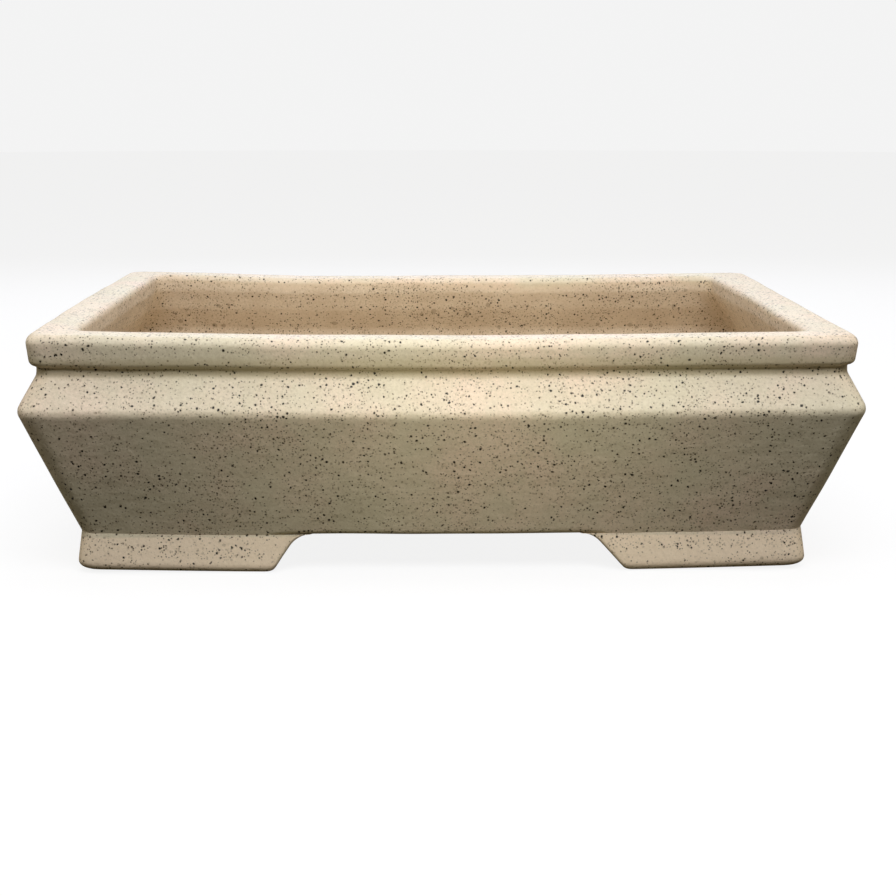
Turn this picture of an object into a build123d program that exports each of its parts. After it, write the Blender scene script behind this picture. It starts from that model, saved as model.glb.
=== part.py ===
"""Rectangular bonsai pot in speckled stoneware, slab built, with its two drainage screens.

The pot stands on four L-shaped corner feet. Above them a flared wall rises to a sharp shoulder,
a band leans back in to a groove, and a thick lip closes the top. Each clay member is its own
solid. Neighbours meet face to face on flat luting seams, and the corners are mitred. A plastic
mesh covers each drainage hole, held down by a bent wire clip.

Millimetres. +X runs along the pot, -Y is its front, +Z is up, and z = 0 is the ground.
An inset is measured inward from the lip's outer faces, so the shoulder's inset is negative.
"""

import os
from math import acos, asin, degrees, radians, tan

from build123d import *

# Overall sizes, over the lip
rim_length = 298.0
rim_width = 226.0
pot_height = 90.0

# Heights of the members
foot_height = 14.0
floor_thickness = 9.0
shoulder_drop = 27.0  # from the lip's top down to the shoulder's arris
rim_height = 13.0  # from the groove up to the lip's top
rim_underside_rise = 3.4  # how far the lip's underside climbs as it comes out of the groove

# Outer outline, as insets from the lip's outer faces
shoulder_inset = -3.95
groove_inset = 3.0
waist_inset = 15.0
foot_inset = 13.7  # where the feet swell out furthest

# Thicknesses, measured level
wall_thickness = 9.6
rim_depth = 16.0
foot_thickness = 13.0
cove_size = 5.0  # where the floor turns up into the wall
rim_overhang_rise = 3.0  # how far the lip's inner edge climbs as it comes out from the wall

# Plan corners and arrises
outer_corner_radius = 6.0
inner_corner_radius = 8.0
shoulder_arris_radius = 4.0
rim_top_radius = 4.0
rim_bottom_radius = 2.0
rim_inner_radius = 3.0

# Feet: how far each arm runs along the ground from the pot's corner
front_left_run = 71.9
front_right_run = 65.9
back_run = 69.0
end_run = 55.0
foot_inner_corner_radius = 3.0
foot_swell_height = 6.5  # up to here the feet stand straight, and then they lean in to the waist
foot_edge_radius = 2.7
foot_end_slope = 55.0  # degrees from level
foot_cove_radius = 10.0
foot_tip_height = 0.5  # the blunt edge where the cove runs out under the floor

# Drainage holes, and the small holes for tie wires
drain_spacing = 136.0
drain_radius = 14.0
drain_edge_radius = 1.0
tie_spacing_x = 200.0
tie_spacing_y = 120.0
tie_radius = 2.5

# Drainage screens: a moulded mesh with square openings
mesh_pitch = 3.6
mesh_bar = 1.1
mesh_cells = 11
mesh_thickness = 1.6

# Wire clips. Each leg goes down through the mesh opening that many cells from the middle.
wire_diameter = 1.5
wire_gap = 0.05  # between the wire and what it rests on
leg_cell = 2
loop_offset = 10.0  # from the screen's middle to the centre of each flat loop
leg_reach = 12.0  # how far a leg runs out under the floor
wire_bend_radius = 1.2

# Levels and half sizes worked out from the sizes above
floor_top = foot_height + floor_thickness
shoulder_level = pot_height - shoulder_drop
groove_level = pot_height - rim_height
rim_face_level = groove_level + rim_underside_rise
half_length = rim_length / 2
half_width = rim_width / 2
seam_margin = 60.0  # how far a cutting profile reaches past the clay

os.makedirs("parts", exist_ok=True)


def outline(inset, height, radius):
    """A level rounded rectangle, that far in from the lip's outer faces."""
    with BuildSketch(Plane.XY.offset(height)) as section:
        RectangleRounded(rim_length - 2 * inset, rim_width - 2 * inset, radius)
    return section.sketch


def outer_outline(inset, height):
    return outline(inset, height, outer_corner_radius)


def inner_outline(inset, height):
    return outline(inset, height, inner_corner_radius)


def wall_inset(height):
    """The outer inset of the flared wall at a height between the waist and the shoulder."""
    flare = (waist_inset - shoulder_inset) / (shoulder_level - foot_height)
    return waist_inset - flare * (height - foot_height)


# The clay above the feet, before it is divided at its seams. The outside rises in four stages,
# and the inside follows it one wall in, up to the lip's inner edge.
outside = [
    (waist_inset, foot_height),
    (shoulder_inset, shoulder_level),
    (groove_inset, groove_level),
    (0, rim_face_level),
    (0, pot_height),
]
cove_top = floor_top + cove_size
inside = [
    (wall_inset(floor_top) + wall_thickness + cove_size, floor_top),
    (wall_inset(cove_top) + wall_thickness, cove_top),
    (shoulder_inset + wall_thickness, shoulder_level),
    (groove_inset + wall_thickness, groove_level),
    (rim_depth, groove_level + rim_overhang_rise),
    (rim_depth, pot_height),
]

with BuildPart() as shell:
    for lower, upper in zip(outside, outside[1:]):
        loft([outer_outline(*lower), outer_outline(*upper)], ruled=True)
    for level, radius in (
        (shoulder_level, shoulder_arris_radius),
        (rim_face_level, rim_bottom_radius),
        (pot_height, rim_top_radius),
    ):
        fillet(shell.edges().filter_by_position(Axis.Z, level, level), radius)
    for lower, upper in zip(inside, inside[1:]):
        loft([inner_outline(*lower), inner_outline(*upper)], ruled=True, mode=Mode.SUBTRACT)
    mouth = shell.faces().sort_by(Axis.Z)[-1].inner_wires()[0]
    fillet(mouth.edges(), rim_inner_radius)


# Floor slab
with BuildPart() as floor_slab:
    with BuildSketch(Plane.XY.offset(foot_height)):
        Rectangle(rim_length, rim_width)
    extrude(amount=floor_thickness)
    add(shell.part, mode=Mode.INTERSECT)
    with Locations((0, 0, floor_top)):
        with GridLocations(drain_spacing, 0, 2, 1):
            Hole(drain_radius)
    drain_edges = floor_slab.edges().filter_by(GeomType.CIRCLE).group_by(SortBy.RADIUS)[-1]
    fillet(drain_edges, drain_edge_radius)
    with Locations((0, 0, floor_top)):
        with GridLocations(tie_spacing_x, tie_spacing_y, 2, 2):
            Hole(tie_radius)
floor_slab.part.label = "floor_slab"
export_step(floor_slab.part, "parts/floor_slab.step")


# Walls, band and lip: four mitred strips in each of three tiers
tiers = {
    "lower_wall": (floor_top, shoulder_level),
    "shoulder_band": (shoulder_level, groove_level),
    "rim": (groove_level, pot_height),
}


def corner_point(corner, reach):
    """A point on a corner's mitre line, that far out from the lip's corner."""
    x_side, y_side = corner
    return (x_side * (half_length + reach), y_side * (half_width + reach))


corners = {
    "front": ((-1, -1), (1, -1)),
    "back": ((1, 1), (-1, 1)),
    "left": ((-1, 1), (-1, -1)),
    "right": ((1, -1), (1, 1)),
}

for tier, (bottom, top) in tiers.items():
    for side, (first, second) in corners.items():
        with BuildPart() as strip:
            with BuildSketch(Plane.XY.offset(bottom)):
                with BuildLine():
                    Polyline(
                        corner_point(first, seam_margin),
                        corner_point(second, seam_margin),
                        corner_point(second, -seam_margin),
                        corner_point(first, -seam_margin),
                        close=True,
                    )
                make_face()
            extrude(amount=top - bottom)
            add(shell.part, mode=Mode.INTERSECT)
        strip.part.label = f"{tier}_{side}"
        export_step(strip.part, f"parts/{tier}_{side}.step")


# Feet
def arm_profile(plane, run):
    """The side view of one arm of a foot, drawn inward from the pot's corner."""
    slant_top = run + foot_height / tan(radians(foot_end_slope))
    cove_x = slant_top + foot_cove_radius * tan(radians(foot_end_slope / 2))
    cove_start = 90 + foot_end_slope
    cove_end = 180 - degrees(asin(1 - foot_tip_height / foot_cove_radius))
    with BuildSketch(plane) as profile:
        with BuildLine():
            cove = CenterArc(
                (cove_x, foot_height - foot_cove_radius),
                foot_cove_radius,
                cove_start,
                cove_end - cove_start,
            )
            tip = cove @ 1
            Polyline(
                tip,
                (tip.X, foot_height),
                (-seam_margin, foot_height),
                (-seam_margin, 0),
                (run, 0),
                cove @ 0,
            )
        make_face()
        sole_end = profile.vertices().sort_by_distance((run, 0, 0))[0]
        fillet(sole_end, foot_edge_radius)
    return profile.sketch


with BuildPart() as foot_ring:
    extrude(outer_outline(foot_inset, 0), amount=foot_swell_height)
    loft(
        [outer_outline(foot_inset, foot_swell_height), outer_outline(waist_inset, foot_height)],
        ruled=True,
    )
    fillet(foot_ring.edges().filter_by_position(Axis.Z, 0, 0), foot_edge_radius)
    hollow = outline(foot_inset + foot_thickness, 0, foot_inner_corner_radius)
    extrude(hollow, amount=foot_height, mode=Mode.SUBTRACT)

foot_runs = {
    "foot_front_left": (-1, -1, front_left_run),
    "foot_front_right": (1, -1, front_right_run),
    "foot_back_left": (-1, 1, back_run),
    "foot_back_right": (1, 1, back_run),
}
foot_end_x = half_length - foot_inset
foot_end_y = half_width - foot_inset

for name, (x_side, y_side, run) in foot_runs.items():
    long_arm = Plane(
        origin=(x_side * foot_end_x, y_side * (foot_end_y - foot_thickness), 0),
        x_dir=(-x_side, 0, 0),
        z_dir=(0, x_side, 0),
    )
    short_arm = Plane(
        origin=(x_side * (foot_end_x - foot_thickness), y_side * foot_end_y, 0),
        x_dir=(0, -y_side, 0),
        z_dir=(-y_side, 0, 0),
    )
    with BuildPart() as foot:
        extrude(arm_profile(long_arm, run), amount=x_side * y_side * seam_margin)
        extrude(arm_profile(short_arm, end_run), amount=-x_side * y_side * seam_margin)
        add(foot_ring.part, mode=Mode.INTERSECT)
    foot.part.label = name
    export_step(foot.part, f"parts/{name}.step")


# Drainage screens and their clips
mesh_side = mesh_cells * mesh_pitch + mesh_bar
loop_radius = leg_cell * mesh_pitch
loop_arc = 270 - degrees(acos(loop_radius / loop_offset))
clip_level = floor_top + mesh_thickness + wire_gap + wire_diameter / 2
leg_drop = clip_level - foot_height + wire_gap + wire_diameter / 2

for side, drain_x in (("left", -drain_spacing / 2), ("right", drain_spacing / 2)):
    with BuildPart() as screen:
        with BuildSketch(Plane((drain_x, 0, floor_top))):
            Rectangle(mesh_side, mesh_side)
            with GridLocations(mesh_pitch, mesh_pitch, mesh_cells, mesh_cells):
                Rectangle(mesh_pitch - mesh_bar, mesh_pitch - mesh_bar, mode=Mode.SUBTRACT)
        extrude(amount=mesh_thickness)
    screen.part.label = f"drain_screen_{side}"
    export_step(screen.part, f"parts/drain_screen_{side}.step")

    # The wire runs in under the floor, up through the mesh, round one loop, straight across to
    # the other loop, and back down and out on the far side.
    with BuildPart() as clip:
        with BuildLine(Plane((drain_x, 0, clip_level))) as route:
            loops = []
            for turn in (1, -1):
                leg_y = -turn * loop_radius
                FilletPolyline(
                    (turn * (loop_radius + leg_reach), leg_y, -leg_drop),
                    (turn * loop_radius, leg_y, -leg_drop),
                    (turn * loop_radius, leg_y, 0),
                    (turn * loop_offset, leg_y, 0),
                    radius=wire_bend_radius,
                )
                loops.append(CenterArc((turn * loop_offset, 0), loop_radius, -turn * 90, loop_arc))
            Line(loops[0] @ 1, loops[1] @ 1)
        path = route.wires()[0]
        with BuildSketch(Plane(origin=path @ 0, z_dir=path % 0)):
            Circle(wire_diameter / 2)
        sweep(path=path)
    clip.part.label = f"screen_clip_{side}"
    export_step(clip.part, f"parts/screen_clip_{side}.step")
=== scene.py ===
"""Looks for the bonsai pot: a hand-built stoneware pot in a speckled satin glaze.

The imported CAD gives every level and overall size. Each clay member is rebuilt here as a closed
mesh of the same form, softened and slightly uneven as fired clay is, and it stands for its CAD
node. One shared surface is worked out first and then divided at the luting seams, so that
neighbours meet exactly and shade as one piece. The screens and clips stay as the CAD has them.

Lengths are in millimetres until a mesh is made, and in metres after that.
"""

from math import atan2, cos, pi, radians, sin, tan

import bmesh
import bpy
import numpy as np
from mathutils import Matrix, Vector, noise
from mathutils.geometry import delaunay_2d_cdt


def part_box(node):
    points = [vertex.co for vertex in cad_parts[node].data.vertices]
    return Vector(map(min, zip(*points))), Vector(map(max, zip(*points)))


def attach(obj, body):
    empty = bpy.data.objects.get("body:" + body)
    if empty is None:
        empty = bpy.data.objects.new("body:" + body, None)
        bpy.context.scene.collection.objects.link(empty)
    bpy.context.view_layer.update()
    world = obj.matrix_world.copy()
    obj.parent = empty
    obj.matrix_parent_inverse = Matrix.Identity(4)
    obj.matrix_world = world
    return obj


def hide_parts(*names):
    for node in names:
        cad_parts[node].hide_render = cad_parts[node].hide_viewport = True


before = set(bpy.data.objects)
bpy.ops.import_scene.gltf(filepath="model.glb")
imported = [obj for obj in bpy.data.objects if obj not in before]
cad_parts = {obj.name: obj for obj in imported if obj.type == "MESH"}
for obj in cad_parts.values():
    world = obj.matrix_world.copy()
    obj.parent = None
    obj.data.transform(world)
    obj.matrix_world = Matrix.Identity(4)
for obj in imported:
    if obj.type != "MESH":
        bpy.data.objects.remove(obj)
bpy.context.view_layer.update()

MM = 0.001
X, Y, Z = range(3)
noise.seed_set(21)  # so that the clay warps the same way on every run


def low(node, axis):
    """The lower end of a CAD node along an axis, in millimetres."""
    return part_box(node)[0][axis] / MM


def high(node, axis):
    """The upper end of a CAD node along an axis, in millimetres."""
    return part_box(node)[1][axis] / MM

# Levels and half sizes, from the CAD
half_length = high("rim_right", X)
half_width = high("rim_back", Y)
pot_height = high("rim_front", Z)
groove_level = low("rim_front", Z)
shoulder_level = low("shoulder_band_front", Z)
floor_top = high("floor_slab", Z)
foot_height = low("floor_slab", Z)
foot_offset = high("foot_back_right", X) - half_length  # negative: the feet stand inside the lip
waist_offset = foot_offset - 1.3

# The clay's section. An offset is measured outward from the lip's outer faces.
shoulder_offset = 3.95
groove_offset = -3.0
lip_offset = -16.3  # the lip's inner face
lip_middle = (-8.2, pot_height)
wall_thickness = 9.6
shoulder_radius = 4.4
groove_radius = 4.0
lip_radius = 3.5
floor_cove = 6.0  # where the floor turns up into the wall, inside
waist_edge = 1.4  # rounding of the slab's lower edge between the feet
arc_points = 17

# Plan corners. The outer ones are widest at the shoulder.
outer_corner = 6.5
shoulder_corner = 9.5
inner_corner = 8.0
corner_steps = 6  # from a side's straight part to its mitre
station_gap = 3.0  # between stations along a side

# The feet
foot_thickness = 13.0
foot_inner_corner = 3.0
foot_edge = 2.8
toe_radius = 4.0
foot_slope = radians(55)
foot_cove = 10.0
foot_swell = 6.5  # up to here a foot stands nearly straight, and then it leans in to the waist
sole_edge = 1.8  # rounding of the sole's inner edge
end_arris = 1.8
foot_rows = 26
arris_steps = 6
long_arm_steps = 22
short_arm_steps = 18
front_left_run = 71.9
front_right_run = 67.2
front_right_slope = radians(47)
back_run = 69.0
end_run = 55.0

# The floor's holes
drain_radius = 14.0
tie_radius = 2.5
drain_x = (low("drain_screen_right", X) + high("drain_screen_right", X)) / 2
tie_x = 100.0
tie_y = 60.0


# ---------------------------------------------------------------- outlines


def rounded_path(corners):
    """A fine polyline through (offset, height, radius) corners, with an arc at each inner one."""
    path = [np.array(corners[0][:2], float)]
    for before, corner, after in zip(corners, corners[1:], corners[2:]):
        here = np.array(corner[:2], float)
        back = np.array(before[:2], float) - here
        on = np.array(after[:2], float) - here
        back /= np.hypot(*back)
        on /= np.hypot(*on)
        half = np.arccos(np.clip(back @ on, -1, 1)) / 2
        reach = corner[2] / tan(half)
        middle = here + (back + on) / np.hypot(*(back + on)) * corner[2] / sin(half)
        first = here + back * reach - middle
        last = here + on * reach - middle
        start = atan2(first[1], first[0])
        turn = (atan2(last[1], last[0]) - start + pi) % (2 * pi) - pi
        for step in np.linspace(0, 1, arc_points):
            angle = start + turn * step
            path.append(middle + corner[2] * np.array([cos(angle), sin(angle)]))
    path.append(np.array(corners[-1][:2], float))
    return np.array(path)


def between(path, bottom, top):
    """The stretch of a rising path between two heights, with points exactly on both."""
    ends = [(np.interp(z, path[:, 1], path[:, 0]), z) for z in (bottom, top)]
    inside = path[(path[:, 1] > bottom + 1e-6) & (path[:, 1] < top - 1e-6)]
    return np.vstack([ends[0], inside, ends[1]])


def resample(path, count, turn_weight=2.5):
    """That many points along a path, closer together where it turns."""
    steps = np.diff(path, axis=0)
    lengths = np.hypot(*steps.T)
    heading = np.unwrap(np.arctan2(steps[:, 1], steps[:, 0]))
    turn = np.zeros(len(path))
    turn[1:-1] = abs(np.diff(heading))
    travelled = np.concatenate([[0], np.cumsum(lengths + turn_weight * (turn[1:] + turn[:-1]) / 2)])
    wanted = np.linspace(0, travelled[-1], count)
    return np.column_stack([np.interp(wanted, travelled, path[:, k]) for k in (0, 1)])


def smooth(value, start, end):
    """0 up to the start, 1 from the end on, and an even slope between them."""
    t = np.clip((value - start) / (end - start), 0, 1)
    return t * t * (3 - 2 * t)


# ---------------------------------------------------------------- the shared surface

wall_foot = np.interp(floor_top, [foot_height, shoulder_level], [waist_offset, shoulder_offset])

outer_path = rounded_path([
    (waist_offset, foot_height),
    (shoulder_offset, shoulder_level, shoulder_radius),
    (groove_offset, groove_level - 1.3, groove_radius),
    (groove_offset - 0.1, groove_level + 1.5, 0.7),
    (-1.0, groove_level + 2.2, 2.3),
    (0.25, pot_height - 0.4, lip_radius),
    lip_middle,
])
inner_path = rounded_path([
    (wall_foot - wall_thickness - 20, floor_top),
    (wall_foot - wall_thickness, floor_top, floor_cove),
    (shoulder_offset - wall_thickness, shoulder_level, 8.0),
    (groove_offset - wall_thickness - 0.5, groove_level - 2.0, 14.0),
    (lip_offset, groove_level + 6.0, 5.0),
    (lip_offset, pot_height - 0.5, 2.8),
    lip_middle,
])[1:]


def up_to_middle(path, bottom):
    """The stretch of a path from a height up and on to the lip's middle."""
    level_run = path[-2:]
    return np.vstack([between(path, bottom, level_run[0, 1])[:-1], level_run])


# Each tier runs between two heights. Its part of both paths has the same number of points,
# so its ends close as a ladder.
tiers = {
    "floor_slab": (foot_height, floor_top, 12),
    "lower_wall": (floor_top, shoulder_level, 40),
    "shoulder_band": (shoulder_level, groove_level, 20),
    "rim": (groove_level, pot_height, 34),
}
rows = {}
outer_rows = np.empty((0, 2))
inner_rows = np.empty((0, 2))
for tier, (bottom, top, count) in tiers.items():
    first = max(len(outer_rows) - 1, 0)
    rows[tier] = (first, first + count - 1)
    if tier == "rim":
        outer_part = resample(up_to_middle(outer_path, bottom), count)
        inner_part = resample(up_to_middle(inner_path, bottom), count)
    elif tier == "floor_slab":
        outer_part = resample(between(outer_path, bottom, top), count)
        inner_part = np.repeat(inner_path[:1], count, axis=0)
    else:
        outer_part = resample(between(outer_path, bottom, top), count)
        inner_part = resample(between(inner_path, bottom, top), count)
    outer_rows = np.vstack([outer_rows[:-1], outer_part])
    inner_rows = np.vstack([inner_rows[:-1], inner_part])


def ring_stations():
    """Where each station of the ring stands: a corner, the next one, an angle and a share between.

    The angle is the one on the corners' arcs, and a share of 0 is on the first corner's own arc.
    The second list holds the station at each mitre.
    """
    corners = [(-1, -1), (1, -1), (1, 1), (-1, 1)]
    eighth_turn = radians(45)
    placed = []
    at_mitres = []
    for k, (corner, following) in enumerate(zip(corners, corners[1:] + corners[:1])):
        mitre_angle = radians(225 + 90 * k)
        side_angle = mitre_angle + eighth_turn
        at_mitres.append(len(placed))
        for step in range(corner_steps + 1):
            placed.append((corner, following, mitre_angle + eighth_turn * step / corner_steps, 0.0))
        side = 2 * (half_length if k % 2 == 0 else half_width)
        count = int(side / station_gap)
        for step in range(1, count):
            placed.append((corner, following, side_angle, step / count))
        for step in range(corner_steps):
            angle = mitre_angle + eighth_turn * (1 + step / corner_steps)
            placed.append((following, following, angle, 0.0))
    return placed, at_mitres


stations, mitres = ring_stations()
ring_count = len(stations)
mitres.append(ring_count)
sides = ("front", "right", "back", "left")


def corner_radius(height):
    """The outer plan corner's radius at each height."""
    levels = [foot_height, shoulder_level, groove_level]
    return np.interp(height, levels, [outer_corner, shoulder_corner, outer_corner])


def ring_grid(path, radius):
    """Points on the ring, station by row: the path's section carried round the rounded plan."""
    offset, height = path.T
    reach_x = half_length + offset - radius
    reach_y = half_width + offset - radius
    grid = np.empty((ring_count, len(path), 3))
    for station, (corner, following, angle, share) in enumerate(stations):
        here_x = corner[X] * reach_x + radius * cos(angle)
        here_y = corner[Y] * reach_y + radius * sin(angle)
        there_x = following[X] * reach_x + radius * cos(angle)
        there_y = following[Y] * reach_y + radius * sin(angle)
        grid[station, :, X] = here_x * (1 - share) + there_x * share
        grid[station, :, Y] = here_y * (1 - share) + there_y * share
        grid[station, :, Z] = height
    return grid


def on_long_side(x, y):
    """Whether a point is on the front or the back, and not on an end."""
    return abs(y) - half_width > abs(x) - half_length


def under_arch(points):
    """1 along the waist between the feet and 0 over them, with an easy change between."""
    x, y = points[..., X], points[..., Y]
    along_front = smooth(x, -66, -56) * (1 - smooth(x, 52, 62))
    along_end = 1 - smooth(abs(y), 42, 52)
    return np.where(on_long_side(x, y), along_front, along_end)


def soften_waist(grid):
    """Rounds the slab's lower edge where it shows between the feet."""
    rise = np.clip(waist_edge - (grid[..., Z] - foot_height), 0, waist_edge)
    pull = (waist_edge - np.sqrt(waist_edge**2 - rise**2)) * under_arch(grid)
    long_side = on_long_side(grid[..., X], grid[..., Y])
    side = np.sign(grid[..., :2])
    grid[..., Y] -= np.where(long_side, side[..., Y] * pull, 0)
    grid[..., X] -= np.where(long_side, 0, side[..., X] * pull)
    return grid


def warp(points):
    """The unevenness of hand-built, fired clay, the same for every member."""
    shape = points.shape
    points = points.reshape(-1, 3).copy()
    x, y, z = points.T.copy()
    # The long sides sag in the middle, more so further up.
    sag = 1.1
    lift = smooth(z, foot_height, pot_height)
    points[:, Z] -= sag * lift * np.clip(1 - (x / half_length) ** 2, 0, 1)
    # The left end and the back stand a little high, and the back left corner leans in.
    left_rise = 1.1
    back_rise = 0.5
    corner_lean = 3.2
    left = smooth(-x, 50, 140)
    back = smooth(y, -20, 110)
    points[:, Z] += smooth(z, groove_level - 3, pot_height) * (left_rise * left + back_rise * back)
    points[:, X] += corner_lean * lift * left * back
    # The lip is widest at its back right corner.
    extra_width = 2.8
    on_lip = smooth(z, groove_level - 4, groove_level + 4)
    inner_edge = on_lip * smooth(x, 70, 125) * (1 - smooth(x, 136, 148))
    points[:, X] -= extra_width * inner_edge * smooth(y, 0, 95)
    # The soles curl up towards the pot's corners.
    sole_curl = 1.4
    curl = np.clip((abs(x) - 64) / 71, 0, 1.1) ** 1.3
    points[:, Z] += sole_curl * curl * (1 - smooth(z, 10, 40))
    # Slow and quick waves run over everything above the ground.
    waves = np.array([
        0.35 * noise.noise_vector(Vector(p) / 75) + 0.2 * noise.noise_vector(Vector(p) / 24)
        for p in zip(x, y, z)
    ])
    above_ground = smooth(z, 0.5, 6.0)
    points += waves * above_ground[:, None]
    return points.reshape(shape)


def ring_normals(grid):
    """Unit normals of a ring's grid. They point outward where its rows rise."""
    along = np.roll(grid, -1, axis=0) - np.roll(grid, 1, axis=0)
    normals = np.cross(along, np.gradient(grid, axis=1))
    return normals / np.maximum(np.linalg.norm(normals, axis=2, keepdims=True), 1e-12)


true_outer_grid = soften_waist(ring_grid(outer_rows, corner_radius(outer_rows[:, 1])))
outer_grid = warp(true_outer_grid)
inner_grid = warp(ring_grid(inner_rows, inner_corner))
outer_normals = ring_normals(outer_grid)
inner_normals = -ring_normals(inner_grid)
# Both sides of the lip meet in one row of points, with one normal.
inner_grid[:, -1] = outer_grid[:, -1]
inner_normals[:, -1] = outer_normals[:, -1]


# A lap is how far a point lies past the glaze's edge, along the clay. It is positive on bare clay.
glazed = -30.0
bare = 30.0
glaze_depth = 9.3  # how far the glaze runs over the lip and down inside
sole_lap = 0.9  # how far up from the ground a foot is bare


def lap_along(path):
    """For the pot's inside: the way down from the lip, less the depth that the glaze runs over."""
    steps = np.hypot(*np.diff(path, axis=0).T)
    down = np.concatenate([np.cumsum(steps[::-1])[::-1], [0]])
    return down - glaze_depth


inner_lap = lap_along(inner_rows)


def glaze_run(points):
    """How much further down the glaze has run at each inside point: most along the back."""
    x, y = points[:, X], points[:, Y]
    along_back = smooth(y, 70, 92) * smooth(half_length - abs(x), 18, 70)
    drift = np.array([noise.noise(Vector(p) / 40) for p in points])
    back_drop = 2.0
    drift_drop = 3.0
    return back_drop * along_back + drift_drop * drift


# ---------------------------------------------------------------- making meshes


def finish_mesh(name, vertices, faces, laps, normals=None):
    """A closed piece of stoneware from points in millimetres, with each point's lap."""
    mesh = bpy.data.meshes.new(name)
    mesh.from_pydata([tuple(v) for v in np.asarray(vertices) * MM], [], faces)
    mesh.validate()
    attribute = mesh.attributes.new("lap", "FLOAT", "POINT")
    attribute.data.foreach_set("value", np.asarray(laps, np.float32))
    mesh.shade_smooth()
    if normals is not None:
        mesh.normals_split_custom_set(normals)
    piece = bpy.data.objects.new(name, mesh)
    bpy.context.scene.collection.objects.link(piece)
    mesh.materials.append(stoneware)
    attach(piece, "root")
    return piece


def strip(tier, side_index):
    """One mitred strip of a tier: two skins, the seams below and above, and two mitred ends."""
    first, last = rows[tier]
    count = last - first + 1
    picks = [k % ring_count for k in range(mitres[side_index], mitres[side_index + 1] + 1)]
    length = len(picks)
    # The lip's two skins share their last row, at its top.
    lip = tier == "rim"
    inner_count = count - 1 if lip else count
    outer_points = outer_grid[picks, first:last + 1].reshape(-1, 3)
    inner_points = inner_grid[picks, first:first + inner_count].reshape(-1, 3)
    outer_id = np.arange(length * count).reshape(length, count)
    inner_id = np.arange(length * inner_count).reshape(length, inner_count) + length * count
    if lip:
        inner_id = np.column_stack([inner_id, outer_id[:, -1]])

    skin_normal = {}
    for ids, grid in ((outer_id, outer_normals), (inner_id, inner_normals)):
        for i, k in enumerate(picks):
            for j in range(count):
                skin_normal[int(ids[i, j])] = grid[k, first + j]

    faces = []
    face_is_skin = []

    def quad(ids, skin=False):
        """Adds a face, with three corners where two of the four are the same point."""
        faces.append([int(i) for k, i in enumerate(ids) if i != ids[k - 1]])
        face_is_skin.append(skin)

    for i in range(length - 1):
        for j in range(count - 1):
            quad([outer_id[i, j], outer_id[i + 1, j], outer_id[i + 1, j + 1], outer_id[i, j + 1]], True)
            quad([inner_id[i, j], inner_id[i, j + 1], inner_id[i + 1, j + 1], inner_id[i + 1, j]], True)
        quad([inner_id[i, 0], inner_id[i + 1, 0], outer_id[i + 1, 0], outer_id[i, 0]])
        if not lip:
            quad([outer_id[i, -1], outer_id[i + 1, -1], inner_id[i + 1, -1], inner_id[i, -1]])
    for j in range(count - 1):
        quad([inner_id[0, j], outer_id[0, j], outer_id[0, j + 1], inner_id[0, j + 1]])
        quad([outer_id[-1, j], inner_id[-1, j], inner_id[-1, j + 1], outer_id[-1, j + 1]])

    vertices = np.vstack([outer_points, inner_points])
    normals = []
    for ids, skin in zip(faces, face_is_skin):
        if skin:
            normals.extend(tuple(skin_normal[i]) for i in ids)
        else:
            corners = vertices[ids]
            flat = np.cross(corners[2] - corners[0], corners[-1] - corners[1])
            flat /= max(np.linalg.norm(flat), 1e-12)
            normals.extend([tuple(flat)] * len(ids))
    laps = np.concatenate([
        np.full(len(outer_points), glazed),
        np.tile(inner_lap[first:first + inner_count], length) - glaze_run(inner_points),
    ])
    name = f"{tier}_{sides[side_index]}"
    piece = finish_mesh(f"clay_{name}", vertices, faces, laps, normals)
    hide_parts(name)


def circle(centre, radius, count):
    """That many points round a circle, in plan."""
    angles = [2 * pi * i / count for i in range(count)]
    return [(centre[X] + radius * cos(angle), centre[Y] + radius * sin(angle)) for angle in angles]


def flat_region(outline, holes, height):
    """Triangles over a level outline with round holes, with points enough to follow the warp."""
    points = [tuple(p) for p in outline]
    loops = [(0, len(points))]
    for centre, radius, count in holes:
        start = len(points)
        points += circle(centre, radius, count)
        loops.append((start, len(points)))
    edges = [(i, i + 1 if i + 1 < end else start) for start, end in loops for i in range(start, end)]
    gap = 5.0
    reach = np.abs(outline).max(axis=0) - gap
    clearance = 1.5  # from a hole's edge to the nearest inner point
    for x in np.arange(-reach[X], reach[X], gap):
        for y in np.arange(-reach[Y], reach[Y], gap):
            if all(np.hypot(x - c[X], y - c[Y]) > r + clearance for c, r, _ in holes):
                points.append((x, y))
    flat, _, faces, *_ = delaunay_2d_cdt([Vector(p) for p in points], edges, [], 1, 1e-5)
    kept = []
    for face in faces:
        middle = sum((flat[i] for i in face), Vector((0, 0))) / len(face)
        if all((middle - Vector(centre)).length > radius * 0.995 for centre, radius, _ in holes):
            kept.append(face)
    return np.array([(p.x, p.y, height) for p in flat]), kept


def tube(rings):
    """Quads between successive rings of points, each a closed loop."""
    count = len(rings[0])
    faces = []
    for r in range(len(rings) - 1):
        for i in range(count):
            j = (i + 1) % count
            faces.append([r * count + i, r * count + j, (r + 1) * count + j, (r + 1) * count + i])
    return np.vstack(rings), faces


def hole_wall(centre, radius, rounding, count):
    """The wall of a round hole through the slab, from its rounded top edge to its rounded lower one."""
    quarter = np.linspace(0, pi / 2, 5)
    top_drop = rounding * (1 - np.cos(quarter))
    lower_rise = rounding * (1 - np.cos(quarter[::-1]))
    top_flare = rounding * (1 - np.sin(quarter))
    lower_flare = rounding * (1 - np.sin(quarter[::-1]))
    heights = [*(floor_top - top_drop), *(foot_height + lower_rise)]
    widths = [*(radius + top_flare), *(radius + lower_flare)]
    rings = []
    for height, width in zip(heights, widths):
        rings.append(np.array([(x, y, height) for x, y in circle(centre, width, count)]))
    return tube(rings)


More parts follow.
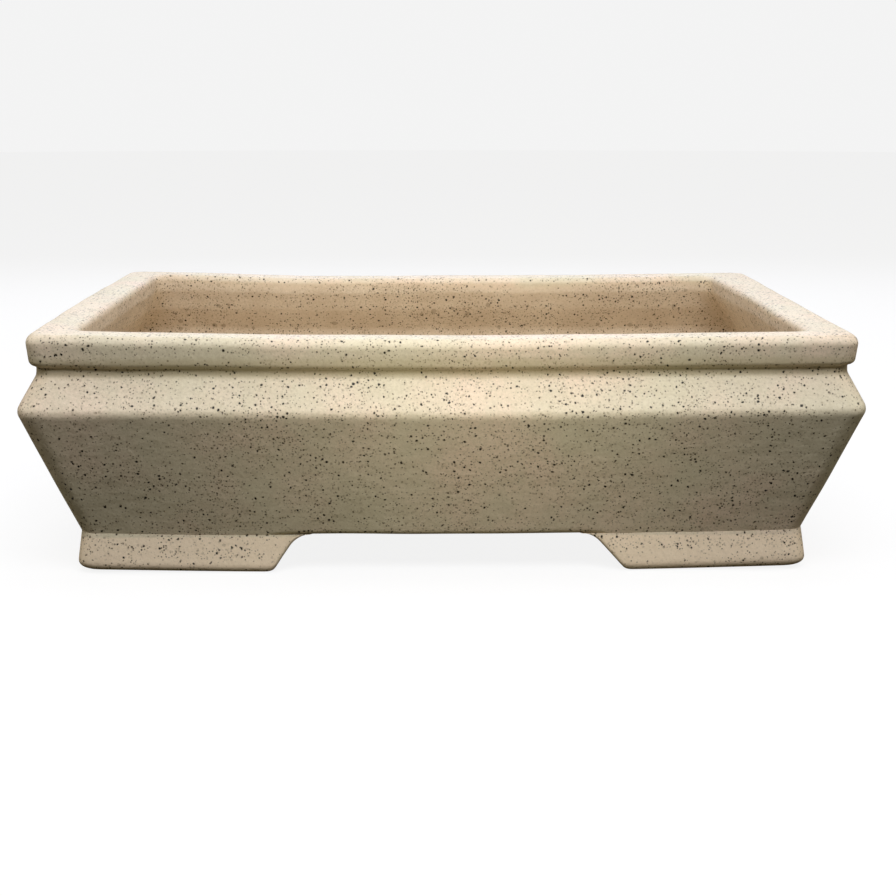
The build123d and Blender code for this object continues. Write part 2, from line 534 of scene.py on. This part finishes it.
def floor_slab():
    """The slab: its edge from the shared surface, and its two faces and holes filled in."""
    first, last = rows["floor_slab"]
    # The holes: centre, radius, rounding of their edges and number of sides
    drains = [((x, 0.0), drain_radius, 1.6, 64) for x in (-drain_x, drain_x)]
    ties = [((x, y), tie_radius, 0.5, 24) for x in (-tie_x, tie_x) for y in (-tie_y, tie_y)]
    holes = drains + ties
    mouths = [(centre, radius + rounding, count) for centre, radius, rounding, count in holes]
    parts = [tube([outer_grid[:, j] for j in range(first, last + 1)])]
    for row, height in ((first, foot_height), (last, floor_top)):
        points, faces = flat_region(true_outer_grid[:, row, :2], mouths, height)
        parts.append((warp(points), faces))
    for hole in holes:
        points, faces = hole_wall(*hole)
        parts.append((warp(points), faces))
    vertices = np.vstack([points for points, _ in parts])
    faces = []
    start = 0
    for points, part_faces in parts:
        faces += [[start + i for i in face] for face in part_faces]
        start += len(points)

    # The slab is bare but for its edge, which is glazed down to just above its foot.
    laps = np.full(len(vertices), bare)
    edge_laps = np.where(outer_rows[first:last + 1, 1] < foot_height + 0.7, 1.0, glazed)
    edge_count, below_count = len(parts[0][0]), len(parts[1][0])
    laps[:edge_count] = np.repeat(edge_laps, ring_count)
    top_start = edge_count + below_count
    laps[top_start:top_start + ring_count] = glazed
    piece = finish_mesh("clay_floor_slab", vertices, faces, laps)
    weld(piece)
    share_edge_normals(piece, first, last)
    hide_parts("floor_slab")


def share_edge_normals(piece, first, last):
    """Gives the slab's edge the shared surface's normals, so that it runs on into the walls."""
    def key(point):
        """A point's place in whole hundredths of a millimetre."""
        return tuple(np.round(point * 100).astype(int))

    known = {}
    for j in range(first, last + 1):
        for k in range(ring_count):
            known[key(outer_grid[k, j])] = tuple(outer_normals[k, j])
    mesh = piece.data
    keys = [key(np.array(v.co) / MM) for v in mesh.vertices]
    normals = [tuple(corner.vector) for corner in mesh.corner_normals]
    for face in mesh.polygons:
        if abs(face.normal.z) < 0.8 and all(keys[v] in known for v in face.vertices):
            for loop in face.loop_indices:
                normals[loop] = known[keys[mesh.loops[loop].vertex_index]]
    mesh.normals_split_custom_set(normals)


def weld(piece, sharp=radians(38)):
    """Joins meeting edges, turns every face outward and keeps only the true arrises sharp."""
    work = bmesh.new()
    work.from_mesh(piece.data)
    bmesh.ops.remove_doubles(work, verts=work.verts, dist=1e-6)
    bmesh.ops.recalc_face_normals(work, faces=work.faces)
    work.to_mesh(piece.data)
    work.free()
    piece.data.set_sharp_from_angle(angle=sharp)


def end_profile(run, slope):
    """How far a foot's arm runs from the pot's corner at each height, up its slanted end."""
    slant_top = run + foot_height / tan(slope)
    path = rounded_path([
        (run - 10, 0.0),
        (run, 0.0, toe_radius),
        (slant_top, foot_height, foot_cove),
        (slant_top + 20, foot_height),
    ])
    return path[1:-1]


def foot_section(path, sole, heights):
    """Offsets and heights from the sole's middle out to the foot of a path, and then up it."""
    rising = path[1:]
    along_sole = sole + (rising[0, 0] - sole) * np.array([0.0, 0.4, 0.75])
    up_path = np.interp(heights, rising[:, 1], rising[:, 0])
    return np.concatenate([along_sole, up_path]), np.concatenate([np.zeros(3), heights])


def foot_skin(section, radius, sole, ends):
    """One skin of a foot as a grid: its section at each place from the long end to the short one."""
    long_end, short_end = ends
    offset, height = section
    side_x = half_length + offset
    side_y = half_width + offset
    long_x = half_length + foot_offset - np.interp(height, long_end[:, 1], long_end[:, 0])
    short_y = half_width + foot_offset - np.interp(height, short_end[:, 1], short_end[:, 0])
    # Each end is rounded over: the skins draw together there, towards the sole's middle line.
    arris = []
    for distance in end_arris * (1 - np.cos(np.linspace(0, pi / 2, arris_steps))):
        pinch = end_arris - np.sqrt(end_arris**2 - (end_arris - distance) ** 2)
        arris.append((distance, sole + (offset - sole) * (1 - pinch / (foot_thickness / 2))))
    columns = []
    for distance, pinched in arris:
        columns.append((long_x + distance, half_width + pinched))
    arm_x = long_x + end_arris
    for share in np.linspace(0, 1, long_arm_steps)[1:-1]:
        columns.append((arm_x + (side_x - radius - arm_x) * share, side_y))
    for angle in np.linspace(pi / 2, 0, 2 * corner_steps + 1):
        columns.append((side_x - radius + radius * cos(angle), side_y - radius + radius * sin(angle)))
    arm_y = short_y + end_arris
    for share in np.linspace(1, 0, short_arm_steps)[1:-1]:
        columns.append((side_x, arm_y + (side_y - radius - arm_y) * share))
    for distance, pinched in arris[::-1]:
        columns.append((half_length + pinched, short_y + distance))
    return np.array([np.column_stack([x, y, height]) for x, y in columns])


def foot(name, x_side, y_side, run, slope=foot_slope):
    """An L-shaped foot: a section carried from one slanted end, round the corner, to the other."""
    inner_offset = foot_offset - foot_thickness
    outer = rounded_path([
        (foot_offset - 6.5, 0.0),
        (foot_offset + 0.6, 0.0, foot_edge),
        (foot_offset - 0.25, foot_swell, 12.0),
        (waist_offset, foot_height),
    ])
    inner = rounded_path([
        (inner_offset + 6.5, 0.0),
        (inner_offset, 0.0, sole_edge),
        (inner_offset, foot_height),
    ])
    ends = (end_profile(run, slope), end_profile(end_run, foot_slope))
    heights = resample(ends[0], foot_rows)[:, 1]
    heights[0], heights[-1] = 0.0, foot_height
    sole = (foot_offset + inner_offset) / 2
    outer_points = foot_skin(foot_section(outer, sole, heights), outer_corner, sole, ends)
    inner_points = foot_skin(foot_section(inner, sole, heights), foot_inner_corner, sole, ends)

    length, count = outer_points.shape[:2]
    outer_id = np.arange(length * count).reshape(length, count)
    inner_id = outer_id + length * count
    faces = []
    for i in range(length - 1):
        for j in range(count - 1):
            faces.append([outer_id[i, j], outer_id[i + 1, j], outer_id[i + 1, j + 1], outer_id[i, j + 1]])
            faces.append([inner_id[i, j], inner_id[i, j + 1], inner_id[i + 1, j + 1], inner_id[i + 1, j]])
        faces.append([outer_id[i, -1], outer_id[i + 1, -1], inner_id[i + 1, -1], inner_id[i, -1]])
    for i in (0, -1):
        for j in range(count - 1):
            faces.append([outer_id[i, j], outer_id[i, j + 1], inner_id[i, j + 1], inner_id[i, j]])
    faces = [[int(i) for i in face] for face in faces]
    vertices = np.vstack([outer_points.reshape(-1, 3), inner_points.reshape(-1, 3)])
    vertices *= (x_side, y_side, 1)
    laps = np.full(len(vertices), bare)
    laps[:length * count] = sole_lap - vertices[:length * count, Z]
    piece = finish_mesh(f"clay_{name}", warp(vertices), faces, laps)
    weld(piece)
    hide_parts(name)


# ---------------------------------------------------------------- materials


class Shader:
    """A short way to write a material's nodes."""

    def __init__(self, name):
        self.material = bpy.data.materials.new(name)
        self.material.use_nodes = True
        self.tree = self.material.node_tree
        self.surface = self.tree.nodes["Principled BSDF"]

    def node(self, kind, output=0, settings=(), **inputs):
        """A new node's output. Its inputs are named, with _ for a space, or numbered, as in i0."""
        made = self.tree.nodes.new("ShaderNode" + kind)
        for key, value in dict(settings).items():
            setattr(made, key, value)
        for key, value in inputs.items():
            numbered = key[0] == "i" and key[1:].isdigit()
            socket = int(key[1:]) if numbered else key.replace("_", " ")
            self.plug(made.inputs[socket], value)
        return made.outputs[output]

    def plug(self, socket, value):
        """Links a node's output to a socket, or sets the socket to a plain value."""
        if isinstance(value, bpy.types.NodeSocket):
            self.tree.links.new(value, socket)
        else:
            socket.default_value = value

    def math(self, operation, first, second=0.0, third=0.0):
        return self.node("Math", settings={"operation": operation}, i0=first, i1=second, i2=third)

    def vector_math(self, operation, first, **others):
        return self.node("VectorMath", settings={"operation": operation}, i0=first, **others)

    def ramp(self, value, low_end, high_end, to_low=0.0, to_high=1.0):
        """Carries a range of values smoothly over to another range."""
        return self.node(
            "MapRange",
            settings={"interpolation_type": "SMOOTHSTEP"},
            Value=value, From_Min=low_end, From_Max=high_end, To_Min=to_low, To_Max=to_high,
        )

    def mix(self, share, first, second):
        """A share of the second colour over the first."""
        return self.node("Mix", output=2, settings={"data_type": "RGBA"}, i0=share, i6=first, i7=second)

    def noise(self, place, size, detail=2.0, roughness=0.5):
        """Cloudy noise whose features are about that many metres across."""
        return self.node("TexNoise", Vector=place, Scale=1 / size, Detail=detail, Roughness=roughness)

    def bump(self, height, distance, under=None):
        """Raised detail, that many metres high, on top of another bump where one is given."""
        below = {} if under is None else {"Normal": under}
        return self.node("Bump", Height=height, Distance=distance, **below)


def rgb(red, green, blue):
    """A colour from its 0 to 255 display values."""
    return tuple(((v / 255 + 0.055) / 1.055) ** 2.4 for v in (red, green, blue)) + (1.0,)


def specks(shader, place, cell, smallest, largest, share, crowd):
    """Round flecks: some cells of a Voronoi texture hold one, of a size that varies.

    It returns the flecks' dark hearts and their wider, soft halos.
    """
    distance = shader.node("TexVoronoi", Vector=place, Scale=1 / cell)
    # Two random numbers for each cell, out of its colour
    size_draw = shader.node("SeparateColor", i0=distance.node.outputs["Color"])
    presence_draw = size_draw.node.outputs[1]
    # A speck's radius, as a share of the cell, with more of them towards the small end
    pick = shader.math("POWER", size_draw, 1.35)
    span = (largest - smallest) / cell
    radius = shader.math("MULTIPLY_ADD", pick, span, smallest / cell)
    chance = shader.math("MULTIPLY", crowd, share)
    present = shader.math("LESS_THAN", presence_draw, chance)
    inside = shader.math("SUBTRACT", radius, distance)
    heart = shader.ramp(inside, -0.00006 / cell, 0.00012 / cell)
    halo = shader.ramp(inside, -0.00030 / cell, 0.00008 / cell)
    return shader.math("MULTIPLY", heart, present), shader.math("MULTIPLY", halo, present)


def make_stoneware():
    """Speckled cream satin glaze over a tan body, which shows bare inside, below and on the soles."""
    shader = Shader("stoneware")
    place = shader.node("TexCoord", output=3)
    # The specks are read through a slight wobble, so that they aren't quite round.
    cloud_vector = shader.node("TexNoise", output=1, Vector=place, Scale=1 / 0.0011, Detail=2.0)
    centred = shader.vector_math("SUBTRACT", cloud_vector, i1=(0.5, 0.5, 0.5))
    wobble = shader.vector_math("SCALE", centred, Scale=0.0009)
    rough_place = shader.vector_math("ADD", place, i1=wobble)

    # Glaze gives way to bare clay where the lap passes zero, along a ragged line.
    lap = shader.node("Attribute", output=2, settings={"attribute_name": "lap"})
    edge_noise = shader.math("MULTIPLY_ADD", shader.noise(place, 0.009, 3.0), 5.0, -2.5)
    edge = shader.math("ADD", lap, edge_noise)
    bare_share = shader.ramp(edge, -1.6, 1.8)
    thin_share = shader.ramp(edge, -5.0, 0.5)

    # Glaze: cream, clouded towards pink and towards grey-green
    clouds = shader.noise(place, 0.045, 3.0, 0.55)
    patches = shader.noise(place, 0.013, 3.0, 0.6)
    grain = shader.noise(place, 0.0009, 2.0, 0.7)
    glaze = shader.mix(shader.ramp(clouds, 0.35, 0.68), rgb(214, 206, 180), rgb(228, 208, 186))
    glaze = shader.mix(shader.ramp(patches, 0.4, 0.75, 0.0, 0.6), glaze, rgb(207, 199, 174))
    glaze = shader.mix(shader.ramp(grain, 0.3, 0.75, 0.0, 0.5), glaze, rgb(192, 181, 153))
    glaze = shader.mix(shader.math("MULTIPLY", thin_share, 0.45), glaze, rgb(208, 180, 147))
    # It is thicker and greener where it has pooled in the groove and hung from the lip's lower edge, and
    # this band is also darkened as painted shade under the lip's overhang.
    height = shader.node("SeparateXYZ", output=2, i0=place)
    pool_and_shade_level = (groove_level + 1.6) * MM
    from_pool_and_shade = shader.math("ABSOLUTE", shader.math("SUBTRACT", height, pool_and_shade_level))
    pooled_and_shaded = shader.ramp(from_pool_and_shade, 0.0018, 0.0050, 0.55, 0.0)
    glaze = shader.mix(pooled_and_shaded, glaze, rgb(178, 166, 130))
    # It is thinner and pinker on the feet, where it ran off, and the feet are also painted lighter, as
    # painted light bounced up from the ground.
    on_foot = shader.ramp(height, (foot_height - 1.0) * MM, foot_height * MM, 0.85, 0.0)
    foot_glaze_and_painted_bounce = shader.mix(shader.math("MULTIPLY", grain, 0.5), rgb(240, 222, 196), rgb(206, 188, 158))
    glaze = shader.mix(on_foot, glaze, foot_glaze_and_painted_bounce)

    # Bare clay: tan, a little pinker, with fine grog
    clay_patches = shader.noise(place, 0.02, 4.0, 0.6)
    clay = shader.mix(shader.ramp(clay_patches, 0.3, 0.7), rgb(216, 200, 175), rgb(204, 186, 160))
    clay = shader.mix(shader.ramp(grain, 0.25, 0.8, 0.0, 0.6), clay, rgb(186, 166, 139))
    stains = specks(shader, rough_place, 0.0052, 0.0004, 0.0013, 0.65, 1.0)[1]
    clay = shader.mix(shader.math("MULTIPLY", stains, 0.5), clay, rgb(134, 116, 92))
    body = shader.mix(bare_share, glaze, clay)

    # Iron specks of three kinds, crowded in drifts
    drifts = shader.noise(place, 0.022, 3.0, 0.65)
    crowd = shader.ramp(drifts, 0.3, 0.7, 0.5, 1.8)
    faint = specks(shader, rough_place, 0.0015, 0.00016, 0.00042, 0.42, crowd)[1]
    small, small_halo = specks(shader, rough_place, 0.0010, 0.00014, 0.00032, 0.54, crowd)
    bold, bold_halo = specks(shader, rough_place, 0.0019, 0.00023, 0.00050, 0.60, crowd)
    body = shader.mix(shader.math("MULTIPLY", faint, 0.40), body, rgb(132, 116, 92))
    body = shader.mix(shader.math("MULTIPLY", small_halo, 0.22), body, rgb(116, 98, 70))
    body = shader.mix(shader.math("MULTIPLY", bold_halo, 0.38), body, rgb(112, 94, 66))
    body = shader.mix(shader.math("MULTIPLY", small, 0.88), body, rgb(46, 40, 29))
    body = shader.mix(shader.math("MULTIPLY", bold, 0.97), body, rgb(22, 20, 15))
    shader.plug(shader.surface.inputs["Base Color"], body)

    gloss = shader.noise(place, 0.006, 3.0)
    glaze_rough = shader.ramp(gloss, 0.25, 0.75, 0.50, 0.62)
    rough = shader.node("Mix", i0=bare_share, i2=glaze_rough, i3=0.88)
    shader.plug(shader.surface.inputs["Roughness"], rough)
    shader.surface.inputs["IOR"].default_value = 1.43

    # Surface: slow dimples in the glaze, a fine tooth, and grog where the clay is bare
    dimples = shader.bump(shader.noise(place, 0.006, 2.0), 0.00035)
    tooth = shader.bump(shader.noise(place, 0.0012, 3.0, 0.6), 0.00010, dimples)
    grit = shader.math("MULTIPLY", shader.noise(place, 0.0008, 2.0), bare_share)
    grog = shader.bump(grit, 0.00018, tooth)
    pits = shader.bump(shader.math("MULTIPLY", bold, -1.0), 0.00006, grog)
    shader.plug(shader.surface.inputs["Normal"], pits)
    return shader.material


def make_screen_plastic():
    """Black moulded polyethylene with a fine satin grain and a little dust."""
    shader = Shader("screen_plastic")
    place = shader.node("TexCoord", output=3)
    dust = shader.ramp(shader.noise(place, 0.004, 4.0), 0.45, 0.8, 0.0, 0.5)
    colour = shader.mix(dust, rgb(30, 31, 31), rgb(74, 70, 64))
    roughness = shader.ramp(shader.noise(place, 0.0015), 0.3, 0.7, 0.42, 0.62)
    shader.plug(shader.surface.inputs["Base Color"], colour)
    shader.plug(shader.surface.inputs["Roughness"], roughness)
    shader.plug(shader.surface.inputs["Normal"], shader.bump(shader.noise(place, 0.0006, 2.0), 0.00004))
    return shader.material


def make_clip_wire():
    """Drawn aluminium wire, dulled in patches, with a fine tooth."""
    shader = Shader("clip_wire")
    place = shader.node("TexCoord", output=3)
    shader.surface.inputs["Metallic"].default_value = 1.0
    tarnish = shader.ramp(shader.noise(place, 0.003, 3.0), 0.35, 0.75)
    colour = shader.mix(tarnish, rgb(206, 203, 198), rgb(158, 153, 146))
    shader.plug(shader.surface.inputs["Base Color"], colour)
    shader.plug(shader.surface.inputs["Roughness"], shader.ramp(tarnish, 0.0, 1.0, 0.28, 0.5))
    shader.plug(shader.surface.inputs["Normal"], shader.bump(shader.noise(place, 0.0004, 2.0), 0.00002))
    return shader.material


stoneware = make_stoneware()
screen_plastic = make_screen_plastic()
clip_wire = make_clip_wire()


# ---------------------------------------------------------------- the pieces

floor_slab()
for tier in ("lower_wall", "shoulder_band", "rim"):
    for side_index in range(4):
        strip(tier, side_index)
foot("foot_front_left", -1, -1, front_left_run)
foot("foot_front_right", 1, -1, front_right_run, front_right_slope)
foot("foot_back_left", -1, 1, back_run)
foot("foot_back_right", 1, 1, back_run)

for side in ("left", "right"):
    for node, material in ((f"drain_screen_{side}", screen_plastic), (f"screen_clip_{side}", clip_wire)):
        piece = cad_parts[node]
        piece.data.materials.clear()
        piece.data.materials.append(material)


# ---------------------------------------------------------------- floor, light and camera


def stage_paint(name, base, glow):
    """A matt paint with a little light of its own, so that the stage stays evenly pale."""
    paint = bpy.data.materials.new(name)
    paint.use_nodes = True
    surface = paint.node_tree.nodes["Principled BSDF"]
    surface.inputs["Base Color"].default_value = (base, base, base, 1)
    surface.inputs["Roughness"].default_value = 0.9
    surface.inputs["Specular IOR Level"].default_value = 0.0
    surface.inputs["Emission Color"].default_value = (1, 1, 1, 1)
    surface.inputs["Emission Strength"].default_value = glow
    return paint


def make_stage():
    """A plain pale floor in a pale round studio. Neither gives bounce light to the pot."""
    bpy.ops.mesh.primitive_plane_add(size=12)
    floor = bpy.context.object
    floor.name = "stage_floor"
    floor.data.materials.append(stage_paint("stage_floor_paint", 0.12, 0.87))
    bpy.ops.mesh.primitive_uv_sphere_add(radius=5, segments=64, ring_count=32)
    studio = bpy.context.object
    studio.name = "stage_studio"
    studio.data.materials.append(stage_paint("stage_studio_paint", 0.0, 0.90))
    for part in (floor, studio):
        part.visible_diffuse = False
        part.visible_glossy = False
    studio.visible_shadow = False


def hang_lamp(lamp, place, target, power, colour):
    """Puts a lamp in its place, turned to its target, with its power in watts."""
    lamp.energy = power
    lamp.color = colour
    holder = bpy.data.objects.new(lamp.name, lamp)
    holder.location = place
    holder.rotation_euler = (Vector(target) - Vector(place)).to_track_quat("-Z", "Y").to_euler()
    bpy.context.scene.collection.objects.link(holder)


def soft_box(name, place, size, power, colour):
    """A rectangular light, turned to the pot's middle."""
    lamp = bpy.data.lights.new(name, "AREA")
    lamp.shape = "RECTANGLE"
    lamp.size, lamp.size_y = size
    hang_lamp(lamp, place, (0, 0, 0.06), power, colour)


def make_lights():
    """Soft boxes above and on every side, the front one strongest, and a low light in front."""
    wide = (0.9, 0.5)
    square = (0.5, 0.5)
    cool = (0.93, 0.98, 1.16)
    neutral = (0.985, 0.975, 1.0)
    warm = (1.03, 0.97, 0.85)
    soft_box("overhead", (0.0, 0.0, 1.0), wide, 2.8, cool)
    soft_box("front_top", (0.04, -0.62, 0.85), wide, 9.4, neutral)
    soft_box("back", (0.0, 0.85, 0.60), wide, 4.8, cool)
    soft_box("left_end", (-0.95, 0.0, 0.55), square, 2.5, warm)
    soft_box("right_end", (0.95, 0.0, 0.55), square, 2.5, warm)
    front = bpy.data.lights.new("front", "SPOT")
    front.spot_size = radians(24)
    front.spot_blend = 1.0
    front.shadow_soft_size = 0.06
    hang_lamp(front, (0.02, -0.60, 0.15), (0.01, -0.10, 0.082), 4.2, (1.0, 0.93, 0.72))
    world = bpy.data.worlds.new("studio")
    world.use_nodes = True
    background = world.node_tree.nodes["Background"]
    background.inputs["Color"].default_value = (1, 0.84, 0.5, 1)
    background.inputs["Strength"].default_value = 0.06
    bpy.context.scene.world = world


def make_camera():
    """A long lens from the front, a little above the lip and turned slightly right."""
    down_tilt = 11.25
    right_turn = 1.33
    lens = bpy.data.cameras.new("camera")
    lens.sensor_width = 36
    lens.lens = 71.4
    lens.clip_start = 0.01
    camera = bpy.data.objects.new("camera", lens)
    camera.location = (-0.0131, -0.7366, 0.1737)
    camera.rotation_euler = (radians(90 - down_tilt), 0, radians(-right_turn))
    bpy.context.scene.collection.objects.link(camera)
    bpy.context.scene.camera = camera


make_stage()
make_lights()
make_camera()
bpy.context.scene.view_settings.view_transform = "Standard"
